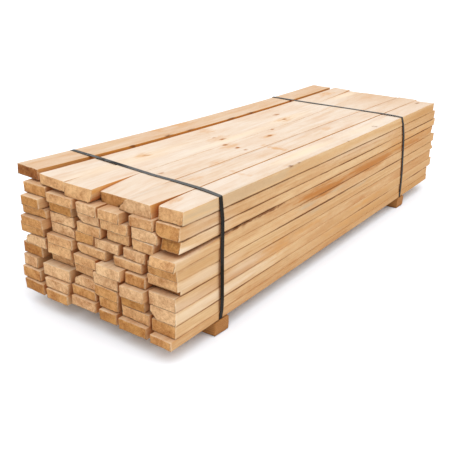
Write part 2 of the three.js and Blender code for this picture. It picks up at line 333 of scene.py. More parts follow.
@dataclass(frozen=True)
class SawnPineFace(Finish):
    """Rough-sawn pine, long faces: pale cream sapwood with faint honey-coloured figure, dry and matt.

    The eye sees soft streaks along the board, thin latewood lines, the ridges of the saw across it, and now
    and then a knot with an orange halo. The narrow edges, and the faces inside the stack, are a deeper straw
    colour than the level faces on top, partly the wood's own and partly painted light from above.
    """

    name: str = "rough-sawn pine, long faces"
    roughness: float = 0.82
    gloss: float = 0.3
    relief: float = 0.45
    relief_depth: float = 0.9 * MM
    broad_pale: str = "#D8CABB"
    broad_streak: str = "#C6A27A"
    blush: str = "#E8BC88"
    edge_pale: str = "#D5B588"
    edge_streak: str = "#AE773F"
    brown: str = "#9A6433"
    seam_side: str = "#A8702F"
    seam_top: str = "#D2A262"
    furred: str = "#EAD6B8"
    seam_width: float = 4 * MM
    furred_width: float = 8 * MM
    saw_spacing: float = 5 * MM
    fibre_across: float = 1.6 * MM
    streak_across: float = 9 * MM
    top_from: float = 466 * MM  # above this height the level faces turn as pale as the top
    top_to: float = 474 * MM
    inner_share: float = 0.35  # how much of the top's pale colour the level faces inside the stack have
    open_share: float = 0.6  # how much of the painted shade of the joints the level faces are spared
    marks: tuple[Mark, ...] = ()
    figure: PineFigure = PineFigure()
    # Painted shade of the joints; the orange of the wide one also stands for warm light bounced between the
    # boards.
    painted_shades: PaintedShades = PaintedShades(
        PaintedShade(40 * MM, 0.9, 0.12, 0.8, "#DC8E1E"), PaintedShade(7 * MM, 0.55, 0.15, 0.5, "#6E421B")
    )

    def paint(self, t: Tree) -> dict[str, Any]:
        """Adds the streaks, the seams along the arrises, the marks and the painted shade of the joints.

        Args:
            t: The material's tree.

        Returns:
            The colour and the height of the relief.
        """
        _, at, tone, brown, late = self.figure.draw(t)
        across, fine = 0.5 / self.streak_across, 0.5 / self.fibre_across
        noises = (  # how fast it changes along, across and through, per metre; detail; roughness
            ((3.6, across, across), 5.0, 0.62),
            ((9.0, fine, fine), 2.0, 0.5),
            ((2.6, 14.0, 14.0), 4.0, 0.6),
            ((16.0, 60.0, 60.0), 5.0, 0.7),
            ((22.0, 70.0, 70.0), 5.0, 0.7),
            ((3.4, 19.0, 19.0), 4.0, 0.6),
            ((1 / self.saw_spacing, 9.0, 9.0), 1.0, 0.5),
        )
        streak, fibre, cloud, torn, mottle, flush, ridge = (
            add(t, NOISE, add(t, V_MUL, at, stretch), None, 1.0, detail, rough)
            for stretch, detail, rough in noises
        )
        figure: Socket | float = 0.0
        for part, share in (
            (late, 0.16),
            (add(t, RANGE, streak, 0.36, 0.7), 0.26),
            (fibre, 0.16),
            (add(t, RANGE, cloud, 0.45, 0.72), 0.34),
            (add(t, RANGE, mottle, 0.4, 0.75), 0.2),
        ):
            figure = add(t, MUL_ADD, part, share, figure)
        figure = add(t, ADD, tone, figure, use_clamp=True)

        up = add(t, SPLIT_XYZ, add(t, "ShaderNodeNewGeometry", out="True Normal"), out=2)
        level = add(t, RANGE, add(t, ABS, up), 0.6, 0.95)
        high = add(t, SPLIT_XYZ, add(t, "ShaderNodeTexCoord", out="Object"), out=2)
        # Level faces on the top layer are paler: partly the wood's own colour, partly painted light from
        # above.
        broad = add(t, MUL, level, add(t, RANGE, high, self.top_from, self.top_to, self.inner_share))
        edge = add(t, MIX, {0: figure, 6: self.edge_pale, 7: self.edge_streak}, **BLEND)
        face = add(t, MIX, {0: figure, 6: self.broad_pale, 7: self.broad_streak}, **BLEND)
        colour = add(t, MIX, {0: broad, 6: edge, 7: face}, **BLEND)

        edges = add(t, ATTRIBUTE, out="Vector", attribute_name=EDGES)
        _, seam, from_end = add(t, SPLIT_XYZ, edges).node.outputs
        close = add(t, RANGE, seam, self.seam_width, 0.8 * MM, **SOFT)
        dashed = add(t, RANGE, torn, 0.42, 0.6, 0.15)
        # A dashed line along every arris: painted shade and warm bounce light of the joints, golden on level
        # faces.
        seam_shade = add(t, MIX, {0: broad, 6: self.seam_side, 7: self.seam_top}, **BLEND)
        frayed = add(t, RANGE, from_end, self.furred_width, 1 * MM, 0.0, 0.5)
        for share, shade, how in (
            (add(t, RANGE, flush, 0.45, 0.78, 0.0, 0.45), self.blush, SHADE),
            (add(t, MUL, brown, 0.5), self.brown, BLEND),
            (add(t, MUL, add(t, MUL, dashed, close), 0.5), seam_shade, BLEND),
            (add(t, MUL, frayed, dashed), self.furred, BLEND),
        ):
            colour = add(t, MIX, {0: share, 6: colour, 7: shade}, **how)
        only = {MarkKind.SEAM: close, MarkKind.RESIN: add(t, SUB, 1.0, broad)}
        colour = self.marked(t, colour, torn, streak, only)
        shaded = self.painted_shades.darken(t, colour, cloud)
        spared = add(t, MUL, level, self.open_share)
        colour = add(t, MIX, {0: spared, 6: shaded, 7: colour}, **BLEND)
        return {"Base Color": colour, "Height": add(t, MUL_ADD, fibre, 0.8, add(t, MUL, ridge, 0.6))}

    def marked(
        self, t: Tree, colour: Socket, ragged: Socket, soft: Socket, only: Mapping[MarkKind, Socket]
    ) -> Socket:
        """Adds every mark to a colour.

        Args:
            t: The material's tree.
            colour: The colour of the clean wood.
            ragged: A noise that breaks the small marks up, from 0 to 1.
            soft: A long soft noise that breaks the soft kinds up, from 0 to 1.
            only: Where the kinds that keep to a part of the board may show, from 0 to 1.

        Returns:
            The marked colour.
        """
        spot = add(t, "ShaderNodeTexCoord", out="Object")
        for kind in MarkKind:
            loose = add(t, MUL_ADD, soft if kind.soft else ragged, kind.broken, -kind.broken / 2)
            cover: Socket | float = 0.0
            for mark in (m for m in self.marks if m.kind is kind):
                centre = tuple(p * MM + o for p, o in zip(mark.place, LAY_UP_ORIGIN))
                away = add(t, V_SUB, spot, centre)
                away = add(t, V_MUL, away, tuple(1 / (r * MM) for r in mark.reach))
                away = add(t, ADD, add(t, V_LENGTH, away, out=1), loose)
                cover = add(t, MAX, add(t, RANGE, away, 1.0, 0.1, 0.0, mark.strength, **SOFT), cover)
            cover = add(t, MUL, cover, only.get(kind, 1.0))
            colour = add(t, MIX, {0: cover, 6: colour, 7: kind.colour}, **BLEND)
        return colour


@dataclass(frozen=True)
class SawnPineEnd(Finish):
    """Cross-cut pine: open end grain, darker and warmer than the faces, furred by the saw.

    The eye sees a matt biscuit-brown face with faint ring arcs, near-vertical saw marks, a paler furred rim
    and, in some boards, a dark heart.
    """

    name: str = "cross-cut pine, end grain"
    relief: float = 1.0
    relief_depth: float = 1.8 * MM
    streak: str = "#B4875C"
    heart: str = "#5A3414"
    rim: str = "#F0CFA2"
    # painted shadow along the lower arris of each end
    joint: str = "#4A2A0E"
    saw_spacing: float = 4 * MM
    tone_share: float = 0.4
    figure: PineFigure = PineFigure(ring_spacing=5 * MM, ring_waver=3 * MM)
    painted_shades: PaintedShades = PaintedShades(
        PaintedShade(40 * MM, 0.62, 0.12, 0.85, "#6A401A"), PaintedShade(7 * MM, 0.55, 0.15, 1.0, "#52300F")
    )

    def paint(self, t: Tree) -> dict[str, Any]:
        """Adds the end grain, the heart, the furred rim and a painted shadow under each board.

        Args:
            t: The material's tree.

        Returns:
            The colour and the height of the relief.
        """
        place, at, tone, _, late = self.figure.draw(t)
        tint = add(t, ATTRIBUTE, out="Color", attribute_name=TINT)
        heart = add(t, ATTRIBUTE, out="Fac", attribute_name=HEART)
        noises = (  # scale, detail, roughness, and the two ends of the range that is used
            (22.0, 3.0, 0.6, 0.35, 0.68),
            (90.0, 5.0, 0.72, 0.36, 0.66),
            (330.0, 3.0, 0.7, 0.36, 0.66),
        )
        broad, coarse, speck = (
            add(t, RANGE, add(t, NOISE, at, None, scale, detail, rough), low, high)
            for scale, detail, rough, low, high in noises
        )
        saw = 0.5 / self.saw_spacing
        kerf = add(t, NOISE, add(t, V_MUL, at, (0.0, saw, saw * 0.12)), None, 1.0, 2.0)
        figure: Socket | float = 0.0
        for part, share in ((late, 0.2), (broad, 0.5), (coarse, 0.5), (speck, 0.3), (kerf, 0.2)):
            figure = add(t, MUL_ADD, part, share, figure)
        figure = add(t, SUB, figure, 0.4)
        figure = add(t, MUL_ADD, tone, self.tone_share, figure, use_clamp=True)
        dark = add(t, MIX, {0: 1.0, 6: tint, 7: self.streak}, **SHADE)
        colour = add(t, MIX, {0: figure, 6: tint, 7: dark}, **BLEND)

        middle = add(t, V_LENGTH, add(t, V_MUL, place, (0.0, 22.0, 45.0)), out=1)
        core = add(t, MUL, add(t, RANGE, middle, 1.0, 0.15), heart)
        rim = add(t, SPLIT_XYZ, add(t, ATTRIBUTE, out="Vector", attribute_name=EDGES))
        ragged = add(t, MUL_ADD, coarse, 4 * MM, rim)
        # A painted shadow along the lower arris of each end, where the board below meets it.
        low = add(t, RANGE, add(t, SPLIT_XYZ, place, out=2), 4 * MM, -4 * MM)
        close = add(t, RANGE, ragged, 4.5 * MM, 1.5 * MM, 0.0, 0.85)
        for share, shade, how in (
            (add(t, MUL, core, coarse, use_clamp=True), self.heart, BLEND),
            (add(t, RANGE, ragged, 6 * MM, 1 * MM, 0.0, 0.3), self.rim, BLEND),
            (add(t, MUL, low, close), self.joint, SHADE),
        ):
            colour = add(t, MIX, {0: share, 6: colour, 7: shade}, **how)
        height = add(t, MUL_ADD, coarse, 0.8, add(t, MUL_ADD, kerf, 1.2, speck))
        return {"Base Color": self.painted_shades.darken(t, colour, broad), "Height": height}


@dataclass(frozen=True)
class BearerPine(Finish):
    """Sawn pine heartwood of the bearers: a duller orange-brown than the studs, with soft dark streaks."""

    name: str = "sawn pine heartwood, bearers"
    roughness: float = 0.85
    gloss: float = 0.25
    relief: float = 0.5
    pale: str = "#B27C46"
    dark: str = "#744418"
    streak_across: float = 8 * MM

    def paint(self, t: Tree) -> dict[str, Any]:
        """Adds the streaks and the painted shade of the joints.

        Args:
            t: The material's tree.

        Returns:
            The colour and the height of the relief.
        """
        _, at, tone, _, late = PineFigure().draw(t)
        across = 0.5 / self.streak_across
        streak = add(t, NOISE, add(t, V_MUL, at, (4.0, across, across)), None, 1.0, 5.0, 0.65)
        speck = add(t, NOISE, at, None, 300.0, 2.0)
        value = add(t, MUL_ADD, streak, 0.6, add(t, MUL, late, 0.3))
        value = add(t, ADD, tone, value, use_clamp=True)
        colour = add(t, MIX, {0: value, 6: self.pale, 7: self.dark}, **BLEND)
        return {"Base Color": PaintedShades().darken(t, colour, streak), "Height": add(t, ADD, streak, speck)}


@dataclass(frozen=True)
class Strapping(Finish):
    """Polyester strapping, extruded and ribbed: near-black, with a painted grey sheen where it faces up."""

    name: str = "black polyester strapping"
    gloss: float = 0.08
    relief: float = 0.2
    relief_depth: float = 0.2 * MM
    refraction: float = 1.49
    black: str = "#1A160E"
    worn: str = "#2C261B"
    sheen_grey: str = "#5E5E5D"

    def paint(self, t: Tree) -> dict[str, Any]:
        """Adds the scuffs and the painted sheen.

        Args:
            t: The material's tree.

        Returns:
            The colour, roughness, index of refraction and height of the relief.
        """
        place = add(t, "ShaderNodeTexCoord", out="Object")
        scuff = add(t, RANGE, add(t, NOISE, place, None, 55.0, 5.0, 0.7), 0.5, 0.8, 0.0, 0.7)
        colour = add(t, MIX, {0: scuff, 6: self.black, 7: self.worn}, **BLEND)
        # Painted sheen: the faces that look up are greyed, for the bright sky that they reflect.
        up = add(t, SPLIT_XYZ, add(t, "ShaderNodeNewGeometry", out="True Normal"), out=2)
        sheen = add(t, RANGE, up, 0.5, 0.95, 0.0, 0.75)
        colour = add(t, MIX, {0: sheen, 6: colour, 7: self.sheen_grey}, **BLEND)
        matt = add(t, RANGE, scuff, 0.0, 1.0, 0.42, 0.62)
        fine = add(t, NOISE, place, None, 600.0, 1.0)
        return {"Base Color": colour, "Roughness": matt, "IOR": self.refraction, "Height": fine}


@dataclass(frozen=True)
class PaleFloor(Finish):
    """Matt studio floor: a cool white, which evens out the warm light that the wood throws on it."""

    name: str = "matt white floor"
    gloss: float = 0.0
    white: str = "#F3F7FD"

    def paint(self, t: Tree) -> dict[str, Any]:
        """Gives the plain colour."""
        return {"Base Color": self.white}


# ---- Geometry Nodes: a sawn board and a strap ----


def new_tree(name: str, inputs: Mapping[str, int | float | Triple]) -> Tree:
    """Starts a Geometry Nodes tree with named inputs and one geometry output.

    Args:
        name: The tree's name.
        inputs: The default value of each input, by name.

    Returns:
        The tree.
    """
    kinds = {int: "NodeSocketInt", float: "NodeSocketFloat", tuple: "NodeSocketVector"}
    tree = bpy.data.node_groups.new(name, "GeometryNodeTree")
    tree.interface.new_socket("Geometry", in_out="INPUT", socket_type="NodeSocketGeometry")
    for label, value in inputs.items():
        socket = tree.interface.new_socket(label, in_out="INPUT", socket_type=kinds[type(value)])
        socket.default_value = value
    tree.interface.new_socket("Geometry", in_out="OUTPUT", socket_type="NodeSocketGeometry")
    return tree


def run_tree(source: Object, tree: Tree, values: Mapping[str, Any]) -> Mesh:
    """Evaluates a Geometry Nodes tree on an object and keeps the result as a plain mesh.

    Args:
        source: The object that carries the modifier while it is evaluated. It is removed.
        tree: The tree.
        values: The value of each input that isn't left at its default, by name.

    Returns:
        The mesh.
    """
    modifier = source.modifiers.new(tree.name, "NODES")
    modifier.node_group = tree
    for item in tree.interface.items_tree:
        if item.item_type == "SOCKET" and item.in_out == "INPUT" and item.name in values:
            modifier[item.identifier] = values[item.name]
    graph = bpy.context.evaluated_depsgraph_get()
    mesh = bpy.data.meshes.new_from_object(source.evaluated_get(graph))
    source.modifiers.remove(modifier)
    bpy.data.objects.remove(source)
    return mesh


def carrier(name: str, data: bpy.types.ID | None = None) -> Object:
    """Makes an object in the scene.

    Args:
        name: The object's name.
        data: Its data, or an empty mesh.

    Returns:
        The object.
    """
    made = bpy.data.objects.new(name, data or bpy.data.meshes.new(name))
    bpy.context.scene.collection.objects.link(made)
    return made


@dataclass
class SawnBoardTree:
    """Builds the tree that makes one sawn board as a closed mesh.

    A grid box is stretched to the board's size, its arrises are rounded by a radius that wanders, a corner
    lost to the round of the log is planed off, the section leans, the ends are cut out of square and furred,
    and the faces are hollowed a little, as a saw leaves them.
    """

    face_material: Material
    end_material: Material
    grid_across: int = 12
    grid_through: int = 8
    bunching: Triple = (1.5, 2.0, 2.0)  # how much the grid is bunched towards the edges
    end_reach: float = 60 * MM  # how far from an end its cut is felt
    seed_step: float = 37.0  # how far the noises move from one seed to the next
    # How fast the noises change along the board, or along, across and through it, per metre.
    arris_grain: float = 9.0
    gap_grain: float = 2.6
    wave_grain: Triple = (5.0, 4.0, 4.0)
    fur_grain: Triple = (60.0, 85.0, 85.0)
    wear_grain: Triple = (25.0, 90.0, 110.0)
    tree: Tree = field(init=False)

    def __post_init__(self) -> None:
        """Builds the tree."""
        curls = [f"{end} {edge} Curl" for end in ("Near", "Far") for edge in ("Front", "Back")]
        inputs = {
            "Half Size": (1.0, 0.05, 0.02),
            "Middle": ORIGIN,
            "Segments": 60,
            "Arris": 2 * MM,
            "Front Drop": 0.0,
            "Wane Corner": (0.0, 1.0, 1.0),
            "Wane Size": (1.0, *NO_WANE),
            "Hollow": 1 * MM,
            "Gap": 0.0,
            "Dip": (0.0, 1.0, 0.0),
            "End Wear": 3 * MM,
            "End Skew": ORIGIN,
            "End Fur": 1 * MM,
            "Curl Reach": 0.2,
            "Far Reach": 0.9,
            "Turn": 0.0,
            "Look": ORIGIN,
            "End Tint": (0.5, 0.3, 0.1),
            "Heart": 0.0,
            "Seed": 0.0,
        }
        bends = dict.fromkeys((*curls, "Near Shift", "Middle Shift", "Far Shift"), ORIGIN)
        self.tree = new_tree("sawn board", {**inputs, **bends})
        self.build()

    def build(self) -> None:
        """Fills the tree with its nodes."""
        t = self.tree
        given = add(t, "NodeGroupInput").node.outputs
        half, segments, corner = given["Half Size"], given["Segments"], given["Wane Corner"]
        across, through = self.grid_across, self.grid_through
        mesh = add(t, "GeometryNodeMeshCube", 2.0, add(t, ADD, segments, 1.0), across + 1, through + 1)
        unit = add(t, "GeometryNodeInputPosition")
        side, reach = add(t, "ShaderNodeVectorMath SIGN", unit), add(t, V_ABS, unit)

        # The arris radius wanders along each long edge, and each of the four has its own run of it.
        spot = add(t, V_MUL, unit, half)
        along = add(t, SPLIT_XYZ, spot)
        seed_shift = add(t, MUL, given["Seed"], self.seed_step)
        seeded = add(t, JOIN_XYZ, seed_shift)
        run = add(t, JOIN_XYZ, add(t, MUL_ADD, along, self.arris_grain, seed_shift))
        run = add(t, V_ADD, run, add(t, V_MUL, side, (0.0, 3.1, 5.7)))
        wander = add(t, RANGE, add(t, NOISE, run, None, 1.0, 3.0, 0.6), 0.25, 0.8, 0.35, 1.9)
        rounding = add(t, MUL, wander, given["Arris"])
        core = add(t, V_SUB, half, rounding)

        # Two rows of the grid go into each arris; the rest are bunched towards the edges.
        start = add(t, SUB, 1.0, add(t, DIV, 4.0, segments))
        start = add(t, JOIN_XYZ, start, 1 - 4 / across, 1 - 4 / through)
        flat = add(t, V_MIN, add(t, V_DIV, reach, start), 1.0)
        flat = add(t, V_SUB, 1.0, add(t, V_POWER, add(t, V_SUB, 1.0, flat), self.bunching))
        over = add(t, V_MAX, add(t, V_SUB, reach, start), 0.0)
        over = add(t, V_DIV, over, add(t, V_SUB, 1.0, start))
        square = add(t, V_MUL_ADD, flat, core, add(t, V_MUL, over, rounding))
        inner = add(t, V_MIN, square, core)
        outward = add(t, "ShaderNodeVectorMath NORMALIZE", add(t, V_SUB, square, inner))
        body = add(t, V_MUL, add(t, V_MUL_ADD, outward, rounding, inner), side)

        # Wane: what lies beyond the round of the log is brought back to it.
        wane = add(t, V_MUL, given["Wane Size"], add(t, RANGE, wander, 0.0, 1.0, 0.82, 1.1))
        inset = add(t, V_SUB, half, add(t, V_MUL, body, corner))
        ratio = add(t, V_DOT, add(t, V_DIV, inset, wane), (0.0, 1.0, 1.0), out=1)
        beyond = add(t, MAX, add(t, SUB, 1.0, ratio), 0.0)
        inverse = add(t, V_DIV, (0.0, 1.0, 1.0), wane)
        push = add(t, DIV, beyond, add(t, V_DOT, inverse, inverse, out=1))
        body = add(t, V_SUB, body, add(t, V_MUL, add(t, V_MUL, inverse, corner), push))

        # The faces are hollowed inwards by up to the hollow, in long low waves.
        waves = add(t, V_MUL, spot, self.wave_grain)
        waves = add(t, V_ADD, waves, add(t, V_MUL, side, (0.0, 2.3, 4.9)))
        wave = add(t, NOISE, add(t, V_ADD, waves, seeded), None, 1.0, 4.0, 0.6, out="Color")
        wave = add(t, V_MUL, add(t, V_MAX, add(t, V_SUB, wave, 0.28), 0.0), given["Hollow"])
        body = add(t, V_SUB, body, add(t, V_MUL, add(t, V_MUL, wave, (0.0, 2.0, 2.0)), side))

        # The top falls short of the board above, here more and there less, so that the joint comes and goes.
        parted = add(t, JOIN_XYZ, add(t, MUL_ADD, along, self.gap_grain, seed_shift), 7.0)
        parted = add(t, RANGE, add(t, NOISE, parted, None, 1.0, 3.0, 0.55), 0.36, 0.62)
        centre, half_long, deep = add(t, SPLIT_XYZ, given["Dip"]).node.outputs
        away = add(t, DIV, add(t, SUB, along, centre), half_long)
        dip = add(t, MAX, add(t, SUB, 1.0, add(t, MUL, away, away)), 0.0)
        parted = add(t, MUL_ADD, dip, deep, add(t, MUL, parted, given["Gap"]))
        upper = add(t, MUL_ADD, add(t, SPLIT_XYZ, side, out=2), 0.5, 0.5)
        body = add(t, V_SUB, body, add(t, JOIN_XYZ, {"Z": add(t, MUL, parted, upper)}))

        # The ends: out of square, furred, and worn round their outlines.
        unit_spot = add(t, V_DIV, body, half)
        skew = add(t, V_DOT, unit_spot, given["End Skew"], out=1)
        fur = add(t, V_ADD, add(t, V_MUL, body, self.fur_grain), seeded)
        fur = add(t, SUB, add(t, NOISE, fur, None, 1.0, 3.0, 0.7), 0.62)
        fur = add(t, MUL, add(t, MUL, fur, given["End Fur"]), 3.0)
        fur = add(t, MUL_ADD, fur, add(t, SPLIT_XYZ, side), skew)
        half_x, body_x = add(t, SPLIT_XYZ, half), add(t, SPLIT_XYZ, body)
        from_end = add(t, SUB, half_x, add(t, ABS, body_x))
        felt = add(t, POWER, add(t, RANGE, from_end, self.end_reach, 0.0), 3.0)
        worn = add(t, V_SUB, add(t, V_MUL, body, self.wear_grain), seeded)
        worn = add(t, NOISE, worn, None, 1.0, 2.0, 0.7)
        worn = add(t, MUL, add(t, RANGE, worn, 0.42, 0.72, 0.0, given["End Wear"]), felt)
        worn = add(t, V_MUL, add(t, V_MUL, side, worn), (0.0, 1.0, 1.0))

        # Lean of the section, and curl of the ends.
        to_front = add(t, MUL_ADD, add(t, SPLIT_XYZ, unit_spot, out=1), -0.5, 0.5)
        to_back = add(t, SUB, 1.0, to_front)
        drop = add(t, SUB, 0.0, add(t, MUL, to_front, given["Front Drop"]))
        placed = add(t, V_ADD, body, add(t, JOIN_XYZ, add(t, MUL, fur, felt), None, drop))
        placed = add(t, V_SUB, placed, worn)
        for end, kind, felt_for, power in (("Near", ADD, "Curl Reach", 1.6), ("Far", SUB, "Far Reach", 1.3)):
            curl = add(t, DIV, add(t, kind, half_x, body_x), given[felt_for])
            curl = add(t, POWER, add(t, MAX, add(t, SUB, 1.0, curl), 0.0), power)
            front = add(t, V_MUL, given[f"{end} Front Curl"], to_front)
            rear = add(t, V_MUL, given[f"{end} Back Curl"], to_back)
            placed = add(t, V_MUL_ADD, add(t, V_ADD, front, rear), curl, placed)

        # Crook and bow: a curve along the board through the shifts of its near end, middle and far end.
        reached = add(t, SPLIT_XYZ, unit_spot)
        squared = add(t, MUL, reached, reached)
        for label, share in (
            ("Near Shift", add(t, SUB, squared, reached)),
            ("Middle Shift", add(t, MUL_ADD, squared, -2.0, 2.0)),
            ("Far Shift", add(t, ADD, squared, reached)),
        ):
            placed = add(t, V_MUL_ADD, given[label], add(t, MUL, share, 0.5), placed)
        turn = {"Vector": placed, "Angle": given["Turn"]}
        placed = add(t, "ShaderNodeVectorRotate", turn, rotation_type="Z_AXIS")
        placed = add(t, V_ADD, placed, given["Middle"])

        # What the materials read, and which faces are the ends, stored before the mesh is moved.
        inset = add(t, V_SUB, half, add(t, V_ABS, square))
        _, across_in, through_in = add(t, SPLIT_XYZ, inset).node.outputs
        end_rim, seam = (add(t, kind, across_in, through_in) for kind in (MIN, MAX))
        facing = add(t, ABS, add(t, SPLIT_XYZ, add(t, "GeometryNodeInputNormal")))
        for name, kind, domain, value in (
            (GRAIN, "FLOAT_VECTOR", "POINT", body),
            (BOARD, "FLOAT_VECTOR", "POINT", given["Look"]),
            (TINT, "FLOAT_VECTOR", "POINT", given["End Tint"]),
            (HEART, "FLOAT", "POINT", given["Heart"]),
            (EDGES, "FLOAT_VECTOR", "POINT", add(t, JOIN_XYZ, end_rim, seam, from_end)),
            (IS_END, "BOOLEAN", "FACE", add(t, "ShaderNodeMath GREATER_THAN", facing, 0.9)),
        ):
            store = {"Geometry": mesh, "Name": name, "Value": value}
            mesh = add(t, "GeometryNodeStoreNamedAttribute", store, data_type=kind, domain=domain)
        mesh = add(t, "GeometryNodeSetPosition", {"Geometry": mesh, "Position": placed})
        mesh = add(t, "GeometryNodeSetShadeSmooth", mesh)
        mesh = add(t, "GeometryNodeRealizeInstances", mesh)
        is_end = add(t, "GeometryNodeInputNamedAttribute", IS_END, data_type="BOOLEAN")
        mesh = add(t, SET_MATERIAL, {"Geometry": mesh, "Material": self.face_material})
        ends = {"Geometry": mesh, "Selection": is_end, "Material": self.end_material}
        add(t, "NodeGroupOutput", add(t, SET_MATERIAL, ends))


@dataclass
class StrapTree:
    """Builds the tree that sweeps a ribbed flat strap along a closed path."""

    material: Material
    corner_points: int = 4
    section_points: int = 64
    squareness: Pair = (1.25, 2.2)  # how far its oval section is squared off, in width and in thickness
    tree: Tree = field(init=False)

    def __post_init__(self) -> None:
        """Builds the tree."""
        sizes = {"Width": 19 * MM, "Thickness": 0.8 * MM, "Rib Height": 0.15 * MM, "Corner Radius": 4 * MM}
        self.tree = new_tree("flat strap", {**sizes, "Ribs": 7})
        self.build()

    def build(self) -> None:
        """Fills the tree with its nodes."""
        t = self.tree
        given = add(t, "NodeGroupInput").node.outputs
        corners = {"Curve": given["Geometry"], "Count": self.corner_points, "Limit Radius": True}
        corners["Radius"] = given["Corner Radius"]
        path = add(t, "GeometryNodeFilletCurve", corners, mode="POLY")
        path = add(t, "GeometryNodeSetCurveNormal", {"Curve": path, "Normal": (1.0, 0.0, 0.0)}, mode="FREE")

        # The section: a long flat oval whose two faces carry the ribs.
        around = {"Resolution": self.section_points, "Radius": 1.0}
        around = add(t, "GeometryNodeCurvePrimitiveCircle", around)
        x, y, _ = add(t, SPLIT_XYZ, add(t, "GeometryNodeInputPosition")).node.outputs
        over, side = (
            add(t, MAX, add(t, MIN, add(t, MUL, part, square), 1.0), -1.0)
            for part, square in zip((x, y), self.squareness)
        )
        wave = add(t, MUL, over, add(t, MUL, given["Ribs"], math.pi))
        wave = add(t, "ShaderNodeMath COSINE", wave)
        half_rib = add(t, MUL, given["Rib Height"], -0.5)
        depth = add(t, MUL_ADD, wave, half_rib, add(t, MUL_ADD, given["Thickness"], 0.5, half_rib))
        wide = add(t, MUL, over, add(t, MUL, given["Width"], 0.5))
        section = add(t, JOIN_XYZ, wide, add(t, MUL, depth, side))
        profile = add(t, "GeometryNodeSetPosition", {"Geometry": around, "Position": section})
        mesh = add(t, "GeometryNodeCurveToMesh", {"Curve": path, "Profile Curve": profile})
        mesh = add(t, "GeometryNodeRealizeInstances", add(t, "GeometryNodeSetShadeSmooth", mesh))
        add(t, "NodeGroupOutput", add(t, SET_MATERIAL, {"Geometry": mesh, "Material": self.material}))


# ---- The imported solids, as the pieces read them ----


@dataclass(frozen=True)
class Section:
    """The box of one packed board, its lean and its lost corner, read from its end faces."""

    near: float
    far: float
    front: float
    back: float
    bottom: float
    top: float
    front_drop: float = 0.0
    wane_corner: Pair = (1.0, 1.0)
    wane_size: Pair = NO_WANE

    @classmethod
    def from_outline(cls, near: float, far: float, outline: Sequence[Pair]) -> "Section":
        """Reads a section from the corners of an end face.

        Args:
            near: Where the near end is.
            far: Where the far end is.
            outline: The corners, as y and z.

        Returns:
            The section, with no wane where it has four corners, and else with no lean.
        """
        tiny = 0.2 * MM
        front, back = min(y for y, _ in outline), max(y for y, _ in outline)
        at_front = sorted(z for y, z in outline if y - front < tiny)
        at_back = sorted(z for y, z in outline if back - y < tiny)
        between = [(y, z) for y, z in outline if y - front >= tiny and back - y >= tiny]
        if not between:
            return cls(near, far, front, back, at_back[0], at_back[-1], at_back[-1] - at_front[-1])
        y, z = between[0]
        at_fair_side = y - front < back - y
        whole, cut = (at_back, at_front) if at_fair_side else (at_front, at_back)
        upper = z > (whole[0] + whole[-1]) / 2
        corner = (-1.0 if at_fair_side else 1.0, 1.0 if upper else -1.0)
        wane = (min(y - front, back - y), abs(z - (cut[-1] if upper else cut[0])))
        return cls(near, far, front, back, whole[0], whole[-1], 0.0, corner, wane)


def end_outlines(node: Object, sign: int) -> list[tuple[float, list[Pair]]]:
    """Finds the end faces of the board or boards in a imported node.

    Args:
        node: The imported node, whose mesh is loose triangles.
        sign: -1 for the near ends, 1 for the far ends.

    Returns:
        For each board from the front to the back: the x of the end, and its corners as y and z.
    """
    reach, flatness = 60 * MM, 0.01 * MM
    extreme = sign * max(sign * v.co.x for v in node.data.vertices)
    groups: list[set[Triple]] = []
    for polygon in node.data.polygons:
        points = [node.data.vertices[i].co for i in polygon.vertices]
        flat = max(p.x for p in points) - min(p.x for p in points) < flatness
        if not flat or abs(points[0].x - extreme) > reach:
            continue
        keys = {(round(p.x, 5), round(p.y, 5), round(p.z, 5)) for p in points}
        for group in [g for g in groups if g & keys]:
            keys |= group
            groups.remove(group)
        groups.append(keys)
    groups.sort(key=lambda g: min(k[1] for k in g))
    return [(next(iter(g))[0], sorted({(k[1], k[2]) for k in g})) for g in groups]


def sections_of(node: Object) -> list[Section]:
    """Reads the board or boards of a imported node.

    Args:
        node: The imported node.

    Returns:
        A section for each board, from the front to the back.
    """
    pairs = zip(end_outlines(node, -1), end_outlines(node, 1))
    return [Section.from_outline(near, far, outline) for (near, outline), (far, _) in pairs]


# ---- Sub-assemblies ----


@dataclass(frozen=True)
class Look:
    """How one board differs from its neighbours, in millimetres.

    A curl moves the front or back edge of an end, and a shift moves a whole cross-section: both are across
    and up. The gap is the most that its top falls short of the board above, and a dip lowers it further
    round one place: where along from the middle, half its length, its depth. Lift is what it has over its
    packed height, and grow what it has over its packed width, at its front and back. What is None is left
    to chance.
    """

    tone: float | None = None  # from pale to dark, and like brown without a unit
    brown: float | None = None
    heart: float = 0.0  # how dark the heart of its ends is, from 0 to 1
    arris: float = 0.8
    gap: float = 1.2
    dip: Triple = (0.0, 1000.0, 0.0)
    lift: float = 0.0
    front_lift: float = 0.0
    grow: Pair = (0.0, 0.0)
    fur: float | None = None
    skew: Pair | None = None
    front_curl: Pair = (0.0, 0.0)
    back_curl: Pair = (0.0, 0.0)
    curl_reach: float = 200.0
    far_front_curl: Pair = (0.0, 0.0)
    far_back_curl: Pair = (0.0, 0.0)
    near_shift: Pair = (0.0, 0.0)
    middle_shift: Pair = (0.0, 0.0)
    far_shift: Pair = (0.0, 0.0)


def metres(sizes: Sequence[float]) -> tuple[float, ...]:
    """Turns millimetres to metres."""
    return tuple(size * MM for size in sizes)


def adopt(name: str, mesh: Mesh, slot: Slot, *nodes: str) -> None:
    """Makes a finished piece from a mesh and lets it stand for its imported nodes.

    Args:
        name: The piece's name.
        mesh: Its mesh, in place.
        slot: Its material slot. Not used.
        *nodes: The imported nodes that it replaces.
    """
    piece = carrier(name, mesh)
    mesh.name = name
    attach(piece, "root")
    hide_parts(*nodes)
    LOG.info("%s: %d faces", name, len(mesh.polygons))


